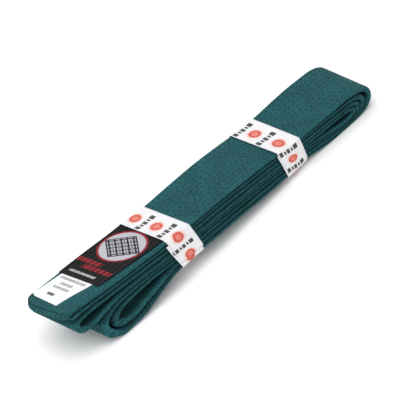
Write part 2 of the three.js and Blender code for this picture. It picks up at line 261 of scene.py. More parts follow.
# Roll of the top run, as height of its -Y edge over its +Y edge.
ROLL = [(-139, 5.4), (-130, 5.0), (-120, 4.2), (-108, 3.1), (-95, 2.4), (-80, 2.1), (-60, 1.6), (-38, 1.2), (-15, 0.3), (5, -0.4), (38, -0.6), (57, -1.0), (75, -2.4), (92, -3.0), (104, -2.2), (112, -1.7), (120, -1.2)]
HALF = 19.8
ROWS = 10
PITCH = 3.7                      # between quilting rows
NATURAL = 1.02                   # half the thickness of one run that nothing presses
APEX = 1.75                      # the same where it bends round a fold
CLEAR = 0.035


def smooth(t):
    t = np.clip(t, 0, 1)
    return t * t * (3 - 2 * t)


def spline(pts, step):
    """Points every step along a centripetal Catmull-Rom curve through pts."""
    p = np.array(pts, float)
    p = np.vstack([2 * p[0] - p[1], p, 2 * p[-1] - p[-2]])
    out = []
    for i in range(1, len(p) - 2):
        p0, p1, p2, p3 = p[i - 1:i + 3]
        t0 = 0.0
        t1 = t0 + np.linalg.norm(p1 - p0) ** 0.5
        t2 = t1 + np.linalg.norm(p2 - p1) ** 0.5
        t3 = t2 + np.linalg.norm(p3 - p2) ** 0.5
        n = max(2, int(np.linalg.norm(p2 - p1) / 0.1))
        t = np.linspace(t1, t2, n, endpoint=False)[:, None]
        a1 = (t1 - t) / (t1 - t0) * p0 + (t - t0) / (t1 - t0) * p1
        a2 = (t2 - t) / (t2 - t1) * p1 + (t - t1) / (t2 - t1) * p2
        a3 = (t3 - t) / (t3 - t2) * p2 + (t - t2) / (t3 - t2) * p3
        b1 = (t2 - t) / (t2 - t0) * a1 + (t - t0) / (t2 - t0) * a2
        b2 = (t3 - t) / (t3 - t1) * a2 + (t - t1) / (t3 - t1) * a3
        out.append((t2 - t) / (t2 - t1) * b1 + (t - t1) / (t2 - t1) * b2)
    out = np.vstack([*out, p[-2][None]])
    s = np.concatenate([[0], np.cumsum(np.linalg.norm(np.diff(out, axis=0), axis=1))])
    q = np.arange(0, s[-1], step)
    return np.stack([np.interp(q, s, out[:, k]) for k in (0, 1)], 1), q


FINE = 0.2
path, arc = spline(TIP + BODY, FINE)
LENGTH = arc[-1]
tan = np.gradient(path, axis=0)
tan /= np.linalg.norm(tan, axis=1)[:, None]
nor = np.stack([-tan[:, 1], tan[:, 0]], 1)
angle = np.unwrap(np.arctan2(tan[:, 1], tan[:, 0]))


def soft_mean(a, width):
    """Moving average over width mm along the belt."""
    n = max(1, int(width / FINE / 2))
    k = np.hanning(2 * n + 3)[1:-1]
    k /= k.sum()
    return np.convolve(np.pad(a, n, mode="edge"), k, mode="valid")


bend = soft_mean(np.abs(np.gradient(angle, FINE)), 4.0)          # radians per mm


def depth(x, z):
    bottom = -14 - 9 * np.clip((-x - 62) / 40, 0, 1)
    return np.clip((0.3 - z) / (0.3 - bottom), 0, 1)


def fan(x):
    return np.interp(x, [p[0] for p in FAN], [p[1] for p in FAN])


def roll(x, z):
    """Height of a point at v across the belt, per unit of v."""
    top = np.interp(x, [p[0] for p in ROLL], [p[1] for p in ROLL]) / (2 * HALF)
    near = np.interp(z, [-6.5, -3.4, -1.2, 0.4], [0.0, 0.3, 0.78, 1.0])
    far = np.clip(1 - depth(x, z), 0, 1)
    return -top * np.where(x < 0, near, far)


# A few tenths of a millimetre out of line, run by run, as a hand-folded stack is.
jit_s = np.array([0, 120, 240, 262, 420, 520, 610, 700, 860, 960, 1010, 1100, 1260, 1340, 1470, 1600, 1700, 1760, 1960, 2100]) * LENGTH / 2000.0
jit_v = np.array([0, 0, 0, -0.1, -0.3, 0.3, 0.8, 0.1, -0.6, -0.2, 0.7, 0.5, -0.4, 0.4, 0.8, -0.1, -0.7, 0.3, 0.9, 0.3])
side = -fan(path[:, 0]) * depth(path[:, 0], path[:, 1]) + soft_mean(np.interp(arc, jit_s, jit_v), 30)

# Half thickness to each side of the middle line, at three places across: each run fills the
# room up to halfway to its neighbour, and no more than cloth this thick would.
free = NATURAL + (0.42 - 0.3 * (path[:, 1] > -9.6) * (path[:, 1] < -2.6)) * smooth((-64 - path[:, 0]) / 26)          # nothing presses the near end
natural = free + (APEX - NATURAL) * smooth(bend / 0.16) + 0.55 * smooth((bend - 0.02) / 0.08) * (path[:, 0] < -98) * (path[:, 1] < -9)
hem = lambda s0: 0.5 * smooth((s0 - 0.2) / 1.5) * (1 - smooth((s0 - 5.2) / 1.6))
natural = natural + hem(arc) + hem(LENGTH - arc)
natural = np.maximum(natural, NATURAL + 0.75 * smooth((path[:, 0] - 95) / 15))
slack = CLEAR + 0.11 * np.exp(-((path[:, 0] - 0) / 26) ** 2) * (0.6 + 0.4 * np.sin(path[:, 1] * 1.9)) + 0.06 * smooth((-64 - path[:, 0]) / 14) + 0.05 * smooth((path[:, 0] - 64) / 12)
half_up, half_down = [], []
# Painted shade: how much to darken the cloth colour where a run lies against its neighbour, and where it lies inside a
# fold.
contact_shade_up, contact_shade_down = [], []
fold_shade_up, fold_shade_down = [], []
coarse = slice(None, None, 5)
for v in (-HALF + 1.5, 0.0, HALF - 1.5):
    pv = path + np.stack([0 * arc, roll(path[:, 0], path[:, 1]) * v], 1)
    got, touch, near_by = [], [], []
    for sign in (1, -1):
        room = np.full(len(arc[coarse]), 99.0)
        for i0 in range(0, len(room), 200):
            idx = np.arange(len(arc))[coarse][i0:i0 + 200]
            rel = pv[None, :, :] - pv[idx][:, None, :]
            along = sign * np.einsum("ijk,ik->ij", rel, nor[idx])
            across = np.abs(np.einsum("ijk,ik->ij", rel, tan[idx]))
            far_off = np.abs(arc[None, :] - arc[idx][:, None]) > 5.0
            hit = np.where((across < 0.2) & (along > 0.3) & far_off, along, 99.0)
            room[i0:i0 + 200] = hit.min(1)
        room = np.interp(arc, arc[coarse], room)
        h = np.minimum(natural, room / 2 - slack)
        h = np.minimum(soft_mean(h, 5.0), room / 2 - slack)
        got.append(np.maximum(h, 0.25))
        # painted shade where the run lies against its neighbour, and where it lies within 11 mm of one inside a fold
        touch.append(soft_mean(smooth((natural + 0.9 - room / 2) / 0.5), 3.0))
        near_by.append(soft_mean(smooth((11.0 - room) / 3.0), 3.0))
    half_up.append(got[0])
    half_down.append(got[1])
    contact_shade_up.append(touch[0])
    contact_shade_down.append(touch[1])
    fold_shade_up.append(near_by[0])
    fold_shade_down.append(near_by[1])


def thick(table, s, v):
    """Half thickness at arc length s (n,) and place across v (m,), as (n, m)."""
    rows = [np.interp(s, arc, t) for t in table]
    f = np.clip(v / (HALF - 1.5), -1, 1)
    lo, hi = np.clip(-f, 0, 1), np.clip(f, 0, 1)
    return rows[0][:, None] * lo + rows[1][:, None] * (1 - lo - hi) + rows[2][:, None] * hi


ROW_V = (np.arange(ROWS) - (ROWS - 1) / 2) * PITCH
EDGE = 1.3                      # radius of the folded edge


def across():
    """Places across the top face, up to where the edge's turn begins."""
    v = [-HALF + EDGE]
    for k, r in enumerate(ROW_V):
        v += [r - 0.55, r, r + 0.55, r + PITCH / 2]
    v = sorted(set([round(q, 4) for q in v if abs(q) < HALF - EDGE - 0.2] + [-HALF + EDGE, HALF - EDGE]))
    return np.array(v)


FLAT_V = across()


def channel(v):
    """How far the quilting draws the face in, in mm, at v."""
    d = np.abs(v[None, :] - ROW_V[:, None]).min(0)
    return 0.13 * (1 - smooth(d / 1.15)) * (np.abs(v) < ROW_V[-1] + 1.4)


def hem_crease(s, v):
    """How far the closing row of the labelled end draws the face in."""
    return 0.55 * np.exp(-((s - 6.2 - tip_outline(v) * 0.62) / 0.75) ** 2)


def tip_outline(v):
    """How much shorter an end is at v: a round +Y corner and a small -Y corner."""
    left = np.clip((v - 7) / (HALF - 7), 0, 1)
    right = np.clip((-v - 15.5) / (HALF - 15.5), 0, 1)
    return 7.5 * left ** 2.3 + 1.6 * right ** 2


def point_at(s, v, n):
    """Row-frame point (mm) at arc length s, place v across, and offset n along the normal."""
    x, z = np.interp(s, arc, path[:, 0]), np.interp(s, arc, path[:, 1])
    nx, nz = np.interp(s, arc, nor[:, 0]), np.interp(s, arc, nor[:, 1])
    ln = np.hypot(nx, nz)
    nx, nz = nx / ln, nz / ln
    zz = z + roll(x, z) * v
    yy = np.interp(s, arc, side) + v
    wave = 0.10 * np.sin(x / 17.0 + 0.6 + yy / 31) + 0.07 * np.sin(x / 7.3 + 2.0 - yy / 23)
    fade = np.clip((x + 40) / 20, 0, 1) * np.clip((95 - x) / 20, 0, 1) * (1 - 0.85 * np.exp(-((x - 47) / 16) ** 2))
    zz = zz + wave * fade
    # the upper band presses the -Y edge down
    zz = zz - 1.6 * np.exp(-((x - 48) / 9.5) ** 2) * smooth((-v - 10) / 9.5) * np.clip((z + 14) / 14, 0, 1)
    x = x + 0.07 * v * smooth((x - 84) / 28)        # the far folds are a little askew
    rx, ry, rz = to_row(x + nx * n, yy, zz + nz * n)
    return rx, ry, np.maximum(rz, 0.02)             # what rests on the floor is pressed flat


def surface(s, v, up=1, lift=0.0):
    """Point on the belt's upper (up=1) or lower face, for arrays s and v of one shape."""
    s, v, lift = np.broadcast_arrays(np.asarray(s, float), np.asarray(v, float), np.asarray(lift, float))
    flat_s, flat_v, lift = s.ravel(), v.ravel(), lift.ravel()
    table = half_up if up > 0 else half_down
    rows = [np.interp(flat_s, arc, t) for t in table]
    f = np.clip(flat_v / (HALF - 1.5), -1, 1)
    lo, hi = np.clip(-f, 0, 1), np.clip(f, 0, 1)
    h = rows[0] * lo + rows[1] * (1 - lo - hi) + rows[2] * hi
    h = h - hem_crease(flat_s, flat_v)
    over = np.clip((np.abs(flat_v) - (HALF - EDGE)) / EDGE, 0, 1)
    h = h * np.sqrt(np.clip(1 - over ** 2, 0, 1)) - channel(flat_v)
    out = point_at(flat_s, flat_v, up * (h + lift))
    return np.stack(out, -1).reshape(*s.shape, 3)


def new_mesh(name, co, faces, smooth_faces=True):
    me = bpy.data.meshes.new(name)
    me.from_pydata((np.asarray(co) * MM).tolist(), [], [list(map(int, f)) for f in faces])
    me.update()
    if smooth_faces:
        me.shade_smooth()
    ob = bpy.data.objects.new(name, me)
    bpy.context.scene.collection.objects.link(ob)
    return ob


def put(ob, name, values):
    a = ob.data.attributes.new(name, "FLOAT_VECTOR", "POINT")
    a.data.foreach_set("vector", np.asarray(values, np.float32).ravel())


def stations(s0, s1):
    """Arc lengths from s0 to s1, close together where the belt bends or shows."""
    out, s = [s0], s0
    while s < s1:
        b, z, x = np.interp(s, arc, bend), np.interp(s, arc, path[:, 1]), np.interp(s, arc, path[:, 0])
        shown = s < 268 or (z < -12 and s < 520)
        step = 1.2 if shown else 3.2
        if b > 0.01:
            step = min(step, max(0.55, 0.09 / b * 0.9))
        if s < 9 or LENGTH - s < 9:
            step = 0.35 if min(s, LENGTH - s) < 2 else 0.8
        s += step
        out.append(min(s, s1))
    if out[-1] - out[-2] < 0.15:
        out.pop(-2)
    return np.array(out)


K = 6                            # steps round each folded edge


def belt_piece(name, s0, s1, closed_start, closed_end, shaped_tip=False):
    s = stations(s0, s1)
    n = len(s)
    ring_v, ring_f, ring_edge = [], [], []
    for v in FLAT_V:                                   # upper face, from -Y to +Y
        ring_v.append(v); ring_f.append(1.0); ring_edge.append(0.0)
    for k in range(1, K):                              # +Y edge, down
        a = math.pi * k / K
        ring_v.append(HALF - EDGE + EDGE * math.sin(a)); ring_f.append(math.cos(a)); ring_edge.append(a)
    for v in FLAT_V[::-1]:
        ring_v.append(v); ring_f.append(-1.0); ring_edge.append(0.0)
    for k in range(1, K):
        a = math.pi * k / K
        ring_v.append(-(HALF - EDGE + EDGE * math.sin(a))); ring_f.append(-math.cos(a)); ring_edge.append(a)
    ring_v, ring_f = np.array(ring_v), np.array(ring_f)
    m = len(ring_v)
    up, down = thick(half_up, s, ring_v), thick(half_down, s, ring_v)
    draw = channel(ring_v)
    # Each end is a closed, rounded edge.
    ends = np.ones(n)
    if closed_start:
        ends *= np.sqrt(np.clip(1 - np.clip(1 - (s - s0) / 0.95, 0, 1) ** 2, 0, 1))
    if closed_end:
        ends *= np.sqrt(np.clip(1 - np.clip(1 - (s1 - s) / 1.4, 0, 1) ** 2, 0, 1))
    ends = np.maximum(ends, 0.02)[:, None]
    h = np.where(ring_f[None] > 0, up - draw[None] * (np.abs(ring_f[None]) > 0.99), down - draw[None] * (np.abs(ring_f[None]) > 0.99))
    if shaped_tip:
        h = h - hem_crease(s[:, None], ring_v[None]) * np.abs(ring_f[None])
        sewn_crease = np.exp(-((s[:, None] - 1.75) / 0.5) ** 2) * np.abs(ring_f[None])     # the sewn edge, drawn in; the same mask paints shade into its crease
        h = h - 0.3 * sewn_crease
    off = h * ring_f[None] * ends
    S = np.repeat(s[:, None], m, 1)
    V = np.repeat(ring_v[None], n, 0)
    if shaped_tip:
        cut = tip_outline(ring_v)[None]
        reach = 26.0
        t = np.clip((s[:, None] - s0) / reach, 0, 1)
        S = S + cut * (1 - t) ** 1.5
    if closed_end:
        S = S - 0.85 * tip_outline(ring_v)[None] * (1 - np.clip((s1 - s[:, None]) / 26.0, 0, 1)) ** 1.5
    if closed_start:
        V = V * (1 - 0.012 * (1 - np.clip((s[:, None] - s0) / 5, 0, 1)))
    co = np.stack(point_at(S.ravel(), V.ravel(), off.ravel()), -1)
    i, j = np.meshgrid(np.arange(n - 1), np.arange(m), indexing="ij")
    j2 = (j + 1) % m
    faces = np.stack([i * m + j, i * m + j2, (i + 1) * m + j2, (i + 1) * m + j], -1).reshape(-1, 4)
    f = len(FLAT_V)
    caps = []
    for row, flip in ((0, False), (n - 1, True)):
        a = [row * m + q for q in range(f)]
        b = [row * m + (2 * f + K - 1 - 1 - q) for q in range(f)]
        quads = [[a[q], a[q + 1], b[q + 1], b[q]] for q in range(f - 1)]
        right = [row * m + q for q in range(f - 1, f + K)]
        left = [row * m + (2 * f + K - 2 + q) % m for q in range(0, K)] + [row * m]
        quads += [right, left]
        caps += [q if flip else q[::-1] for q in quads]
    caps = [c[::-1] for c in caps]
    ob = new_mesh(name, co, [*faces[:, ::-1].tolist(), *caps])
    put(ob, "cloth", np.stack([S.ravel(), V.ravel(), np.repeat(ring_f[None], n, 0).ravel()], -1))
    # Painted shade for the cloth colour: where a run lies against another run, where it lies inside a fold, and along
    # the sewn crease of the labelled end.
    near = np.where(ring_f[None] > 0, thick(contact_shade_up, s, ring_v), thick(contact_shade_down, s, ring_v)) * (np.abs(ring_f) ** 0.8 * smooth((np.abs(ring_v) - HALF + 3.0) / 1.8))[None]
    fold_shade_mask = np.where(ring_f[None] > 0, thick(fold_shade_up, s, ring_v), thick(fold_shade_down, s, ring_v)) * (smooth((HALF - 0.6 - np.abs(ring_v)) / 4.0) * (0.35 + 0.65 * smooth((np.abs(ring_v) - HALF + 9.0) / 5.0)))[None]
    if shaped_tip:
        fold_shade_mask = fold_shade_mask * 0
    sewn_crease = sewn_crease if shaped_tip else 0 * near
    put(ob, "painted_shade", np.stack([near.ravel(), fold_shade_mask.ravel(), sewn_crease.ravel()], -1))
    return ob


SPLIT = float(np.interp(-50.0, path[:400 * 5, 0][: int(120 / FINE)], arc[: int(120 / FINE)]))
tip = belt_piece("belt_labelled_end", 0.0, SPLIT - 0.05, True, False, shaped_tip=True)
body = belt_piece("belt_long_run", SPLIT + 0.05, LENGTH - FINE, False, True)


# ------------------------------------------------------------------ materials
def cloth_material(name, tint=1.0):
    g = Graph(name)
    painted_shade, fold_shade_mask, sewn_crease = g.attribute("painted_shade")     # painted shade: lies against another run; lies inside a fold; sewn crease
    s, v, f = g.attribute("cloth")
    # Twill: slanted ribs, broken where the crossing threads dip.
    rib = (s * (2 * math.pi / 1.45) + v * (2 * math.pi / 1.05)).sin()
    cross = (s * (2 * math.pi / 1.2) - v * (2 * math.pi / 1.7)).sin()
    weave = rib * 0.5 + cross * 0.22 + 0.5
    fibre = g.noise(1.0, 2.0, 0.6, vector=g.combine(s * 1.3 + v * 0.8, v * 1.7, f * 3.0))
    speck = g.noise(1.0, 1.0, 0.5, vector=g.combine(s * 0.8, v * 1.7, f * 5.0)).below(0.42, 0.08)
    patch = g.noise(0.085, 2.0, 0.5)
    # Quilting: rows PITCH apart, one stitch hole every few millimetres.
    row = (v / PITCH + (ROWS / 2.0)).floor()
    dv = ((v / PITCH + (ROWS / 2.0)).mod(1.0) - 0.5).abs() * PITCH
    shift = (row * 12.9898).sin() * 43.7
    ds = ((s + shift).mod(4.1) - 2.05).abs()
    inside = v.abs().below(ROW_V[-1] + 1.5, 0.2) * f.abs().mod(1.0001).below(2.0, 0.1)
    hole = ds.below(0.75, 0.5) * dv.below(0.42, 0.3) * inside
    furrow = dv.below(0.55, 0.6) * inside
    some = g.noise(0.23, 1.0, 0.5).below(0.52, 0.14)
    hole_shade = hole * (some * 0.6 + 0.4)
    dark, light = lin(3, 34, 38), lin(50, 113, 119)
    tone = ((weave - 0.5) * 0.26 + (fibre - 0.5) * 1.9 + (patch - 0.5) * 0.35 - speck * 0.3 + 0.47)
    base = g.mix(tone, tuple(c * tint for c in dark), tuple(c * tint for c in light))
    # Painted shade: darker along the quilting furrows and in the stitch holes.
    base = g.mix(furrow * 0.24, base, tuple(c * 0.55 * tint for c in dark))
    base = g.mix(hole_shade * 0.3, base, tuple(c * 0.45 * tint for c in dark))
    uneven = g.noise(1.0, 2.0, 0.6, vector=g.combine(s * 0.12, v * 0.3, f * 2.0)) * 1.3 + 0.05
    # Painted shade: near-black teal inside folds, in the sewn crease, and where a run lies against another run.
    base = g.mix((fold_shade_mask * 0.7).max(sewn_crease * 0.6), base, lin(3, 17, 20))
    base = g.mix((painted_shade * uneven).min(1.0) * 0.85, base, lin(3, 17, 20))
    g.colour(base)
    g.bump(weave * 0.5 + fibre * 0.5 - hole * 1.6 - furrow * 0.5, 0.00016, 0.75)
    g.rough(fibre * 0.15 + 0.78)
    g.set(Sheen_Weight=0.03, Sheen_Roughness=0.5, Sheen_Tint=(*lin(110, 170, 172), 1.0), Specular_IOR_Level=0.12)
    return g.mat


CLOTH = cloth_material("teal_twill")
for ob in (tip, body):
    ob.data.materials.append(CLOTH)


def grid_sheet(name, corners, nu, nv, base, thickness, s_of=None, inset=0.0, edge=0.25, puff=0.0):
    """A thin closed sheet lying on the labelled end's upper face. corners: (x, y) in the bundle
    frame at (u, w) = (0, 0), (1, 0), (1, 1), (0, 1)."""
    u, w = np.meshgrid(np.linspace(0, 1, nu), np.linspace(0, 1, nv), indexing="ij")
    c = np.array(corners, float)
    xy = ((1 - u) * (1 - w))[..., None] * c[0] + (u * (1 - w))[..., None] * c[1] + (u * w)[..., None] * c[2] + ((1 - u) * w)[..., None] * c[3]
    n0 = int(150 / FINE)
    s = np.interp(xy[..., 0], path[:n0, 0], arc[:n0])
    v = xy[..., 1]
    lu = np.linalg.norm(c[1] - c[0])
    lw = np.linalg.norm(c[3] - c[0])
    rim = np.minimum(np.minimum(u, 1 - u) * lu, np.minimum(w, 1 - w) * lw)
    fall = 1 - np.sqrt(np.clip(1 - np.clip(1 - rim / edge, 0, 1) ** 2, 0, 1))
    lift = base(u, w, rim) if callable(base) else base + 0 * u
    top = surface(s, v, 1, lift + thickness * (1 - 0.75 * fall))
    bot = surface(s, v, 1, lift)
    co = np.concatenate([top.reshape(-1, 3), bot.reshape(-1, 3)])
    k = nu * nv
    i, j = np.meshgrid(np.arange(nu - 1), np.arange(nv - 1), indexing="ij")
    q = np.stack([i * nv + j, (i + 1) * nv + j, (i + 1) * nv + j + 1, i * nv + j + 1], -1).reshape(-1, 4)
    rim_ids = [i * nv for i in range(nu)] + [(nu - 1) * nv + j for j in range(1, nv)] + [i * nv + nv - 1 for i in range(nu - 2, -1, -1)] + [j for j in range(nv - 2, 0, -1)]
    walls = [[rim_ids[a], k + rim_ids[a], k + rim_ids[(a + 1) % len(rim_ids)], rim_ids[(a + 1) % len(rim_ids)]] for a in range(len(rim_ids))]
    ob = new_mesh(name, co, [*q.tolist(), *(q[:, ::-1] + k).tolist(), *walls])
    local = np.stack([u * lu, w * lw, rim], -1).reshape(-1, 3)
    put(ob, "sheet", np.concatenate([local, local]))
    return ob, (lu, lw)


# Woven label: (u, w) runs along the belt from the size label, and across from +Y.
W_X0, W_X1, W_Y0 = -107.6, -55.6, 19.3
woven, WSIZE = grid_sheet("woven_label_cloth", [(W_X0, W_Y0), (W_X1, W_Y0 + 0.1), (W_X1, -17.0), (W_X0, -15.2)], 150, 104, lambda u, w, r: 0.34 + 0 * u, 0.34)
# Size label, its far edge tucked under the woven label.
size, SSIZE = grid_sheet("size_label_cloth", [(-129.6, 18.9), (-105.4, 16.4), (-105.2, -10.6), (-131.9, -5.6)], 72, 70, lambda u, w, r: 0.07 + 0 * u, 0.17)


def box_mask(g, a, b, ca, cb, ha, hb, soft=0.16):
    """1 inside the rectangle centred (ca, cb) with half sides ha, hb."""
    return (a - ca).abs().below(ha, soft) * (b - cb).abs().below(hb, soft)


def woven_material():
    g = Graph("woven_label_black")
    u, w, r = g.attribute("sheet")
    x, y = u + W_X0, W_Y0 - w                     # place in the bundle frame
    # Fine woven ribs across the label.
    rib = (y * (2 * math.pi / 0.62) + x * 1.3).sin()
    warp = (x * (2 * math.pi / 0.45)).sin()
    weave = rib * 0.35 + warp * 0.2 + 0.5
    fibre = g.noise(3.2, 2.0, 0.6)
    black = g.mix(weave * 0.5 + fibre * 0.5, lin(4, 4, 6), lin(19, 17, 20))
    # Round emblem field with a red ring, holding a plain lattice of diamonds.
    cx, cy, rad = -72.9, 1.9, 15.0
    dx, dy = x - cx, y - cy
    dist = (dx * dx + dy * dy).sqrt()
    disc = dist.below(rad - 1.3, 0.18)
    ring = dist.below(rad, 0.2) * (1.0 - disc)
    field = g.mix(fibre * 0.6 + weave * 0.3, lin(150, 150, 156), lin(196, 196, 202))
    red = g.mix(weave * 0.6, lin(118, 26, 34), lin(178, 48, 58))
    # Lattice: two slanted coordinates; dark lines between pale diamonds, in a diamond outline.
    p, q = (dx * 0.94 + dy * 0.76), (dx * 0.94 - dy * 0.76)
    lp = (p.mod(4.3) - 2.15).abs()
    lq = (q.mod(4.3) - 2.15).abs()
    cell = lp.max(lq)                             # 2.15 on a line, 0 in a diamond's middle
    whole = p.abs().max(q.abs())
    lattice = whole.below(10.75, 0.15)
    line = (cell * -1.0 + 2.15).below(0.62, 0.16)
    rim_line = ((whole - 10.45).abs()).below(0.5, 0.15)
    core = cell.below(0.62, 0.16)
    ink = ((line + core).min(1.0) * lattice).max(rim_line)
    inner = g.mix(ink, field, lin(26, 27, 36))
    col = g.mix(ring, black, red)
    col = g.mix(disc, col, inner)
    # Two rows of red blocks and one row of pale ones, in place of lettering.
    def blocks(c, cross, c0, c1, pitch, fill, half, slant):
        """A row of short blocks along y (cross) centred at x = c."""
        t = cross + (x - c) * slant
        inside = (t - (c0 + c1) / 2).abs().below(abs(c1 - c0) / 2, 0.1)
        return (x - c).abs().below(half, 0.22) * (t.mod(pitch) - pitch / 2).abs().below(fill / 2, 0.22) * inside
    red1 = blocks(-96.6, y, -13.6, 9.4, 3.83, 2.75, 1.75, 0.25)
    red2 = blocks(-92.2, y, -1.0, 18.0, 3.8, 2.75, 1.75, 0.25)
    pale = blocks(-102.9, y, -7.2, 14.4, 1.96, 1.25, 0.95, 0.2)
    col = g.mix((red1 + red2).min(1.0) * 0.92, col, red)
    col = g.mix(pale * 0.9, col, lin(196, 196, 200))
    g.colour(col)
    stitched = (red1 + red2 + pale + ring).min(1.0) + ink * disc * 0.6
    g.bump(weave * 0.5 + stitched * 0.9 + fibre * 0.3, 0.00012, 0.6)
    g.rough(weave * 0.15 + 0.55)
    g.set(Sheen_Weight=0.02, Sheen_Roughness=0.4, Specular_IOR_Level=0.12)
    return g.mat


def size_material():
    g = Graph("satin_white")
    u, w, r = g.attribute("sheet")
    warp = (w * (2 * math.pi / 0.4)).sin()
    fine = g.noise(1.7, 3.0, 0.6)
    white = g.mix(fine * 0.6 + warp * 0.15 + 0.2, lin(214, 216, 218), lin(228, 229, 231))
    ink = None
    def add(m):
        nonlocal ink
        ink = m if ink is None else ink.max(m)
    # A plain bar in place of the size mark.
    a, b = u, w
    add(box_mask(g, a, b, 5.6, 11.2, 1.0, 3.0))
    # Three grey rows of short marks.
    for c, c0, c1, pitch in ((11.6, 5.6, 18.4, 1.9), (15.3, 7.0, 17.6, 1.92), (19.6, 2.6, 22.4, 1.88)):
        t = b
        row = (a - c + (b - 12) * 0.0).abs().below(1.0, 0.18) * (t.mod(pitch) - pitch / 2).abs().below(0.62, 0.16) * (t - (c0 + c1) / 2).abs().below((c1 - c0) / 2, 0.1)
        add(row * 0.86)
    g.colour(g.mix(ink * 0.93, white, lin(30, 30, 34)))
    g.bump(warp * 0.3 + fine * 0.7, 0.00008, 0.5)
    g.rough(fine * 0.12 + 0.38)
    g.set(Sheen_Weight=0.1, Specular_IOR_Level=0.4)
    return g.mat


woven.data.materials.append(woven_material())
size.data.materials.append(size_material())


# ------------------------------------------------------------------ stitches
def stitches(name, centres, along, up, length, width, height, mat):
    """One piece of many short thread stitches: at each centre, lying along one direction."""
    centres, along, up = (np.asarray(a, float) for a in (centres, along, up))
    along /= np.linalg.norm(along, axis=1)[:, None]
    up = up - along * (up * along).sum(1)[:, None]
    up /= np.linalg.norm(up, axis=1)[:, None]
    sideways = np.cross(up, along)
    ts = np.array([-1, -0.8, -0.35, 0.35, 0.8, 1.0])
    rs = np.array([0.12, 0.62, 1.0, 1.0, 0.62, 0.12])
    drop = -0.75 * np.abs(ts) ** 3
    around = np.arange(6) * math.pi / 3
    one = []
    for t, r, d in zip(ts, rs, drop):
        for a in around:
            one.append((t * length / 2, math.cos(a) * r * width / 2, math.sin(a) * r * height / 2 + d * height))
    one = np.array(one)
    co = centres[:, None] + one[None, :, 0:1] * along[:, None] + one[None, :, 1:2] * sideways[:, None] + one[None, :, 2:3] * up[:, None]
    co[..., 2] = np.maximum(co[..., 2], 0.015)
    quads = [[k * 6 + a, k * 6 + (a + 1) % 6, (k + 1) * 6 + (a + 1) % 6, (k + 1) * 6 + a] for k in range(5) for a in range(6)]
    quads += [[5, 4, 3, 2, 1, 0], [30 + a for a in range(6)]]
    size_one = len(one)
    faces = [[q + c * size_one for q in f] for c in range(len(centres)) for f in quads]
    ob = new_mesh(name, co.reshape(-1, 3), faces)
    s = np.tile(one[:, 0], len(centres)) + np.repeat(np.arange(len(centres)) * 7.13, size_one)
    put(ob, "thread", np.stack([s, np.tile(np.arctan2(one[:, 2], one[:, 1]), len(centres)), 0 * s], -1))
    ob.data.materials.append(mat)
    return ob


def thread_material(name, dark, light, rough=0.7):
    g = Graph(name)
    s, a, _ = g.attribute("thread")
    ply = (s * (2 * math.pi / 0.42) + a * 2.0).sin() * 0.5 + 0.5
    fuzz = g.noise(4.0, 2.0, 0.6)
    g.colour(g.mix(ply * 0.6 + fuzz * 0.4, lin(*dark), lin(*light)))
    g.bump(ply, 0.00006, 0.7)
    g.rough(fuzz * 0.2 + rough - 0.1)
    g.set(Sheen_Weight=0.15, Specular_IOR_Level=0.3)
    return g.mat


TEAL_THREAD = thread_material("teal_thread", (18, 56, 60), (52, 98, 102))
BLACK_THREAD = thread_material("black_thread", (14, 13, 17), (46, 43, 52))
WHITE_THREAD = thread_material("white_thread", (196, 198, 202), (240, 241, 243), 0.6)


def on_face(s, v, up, lift):
    """Centres, along-belt directions and normals at face points."""
    p = surface(s, v, up, lift)
    a = surface(np.asarray(s) + 0.4, v, up, lift) - surface(np.asarray(s) - 0.4, v, up, lift)
    b = surface(s, np.asarray(v) + 0.3, up, lift) - surface(s, np.asarray(v) - 0.3, up, lift)
    n = np.cross(a, b) * up
    return p, a, b, n


def quilting(name, s0, s1, up, lo=-99, hi=99, skip=None):
    cs, vs = [], []
    for k, r in enumerate(ROW_V):
        if not lo <= r <= hi:
            continue
        shift = 43.7 * math.sin(12.9898 * k)
        first = math.ceil((s0 + shift) / 4.1)
        for q in range(first, int((s1 + shift) / 4.1)):
            s = q * 4.1 - shift                       # between two holes
            if skip is None or not skip(s, r):
                cs.append(s); vs.append(r + 0.05 * math.sin(q * 1.7 + k))
    p, a, b, n = on_face(np.array(cs), np.array(vs), up, 0.02)
    return stitches(name, p, a, n, 2.7, 0.42, 0.26, TEAL_THREAD)


x_to_s = lambda x: float(np.interp(x, path[: int(262 / FINE), 0], arc[: int(262 / FINE)]))
under_label = lambda s, r: s > x_to_s(-131.5) and s < x_to_s(-57.0) and r > -17.5 and (r > -9 or s > x_to_s(-108.5))
quilt_tip = quilting("quilting_labelled_end", 7.5, x_to_s(-61.5), 1, skip=under_label)
quilt_top = quilting("quilting_upper_face", x_to_s(-36.5), x_to_s(36.0), 1)
quilt_far = quilting("quilting_outer_fold", x_to_s(59.0), x_to_s(104.0) + 30, 1)
S_FOLD = x_to_s(104.0) + 32
quilt_low = quilting("quilting_under_face", S_FOLD, 505 * LENGTH / 2000, 1, skip=lambda s, r: (285 * LENGTH / 2000 + 30 < s < 285 * LENGTH / 2000 + 36))

# Closing row of the labelled end, and of the plain end under it.
v_row = np.arange(-18.4, 18.6, 2.3)
s_row = 6.2 + tip_outline(v_row) * 0.62
p, a, b, n = on_face(s_row, v_row, 1, 0.02)
hem_tip = stitches("hem_thread_labelled_end", p, b, n, 1.9, 0.42, 0.3, TEAL_THREAD)
p, a, b, n = on_face(np.full(len(v_row), LENGTH - 4.3), v_row, -1, 0.0)
hem_plain = stitches("hem_thread_plain_end", p, b, n, 1.9, 0.42, 0.26, TEAL_THREAD)


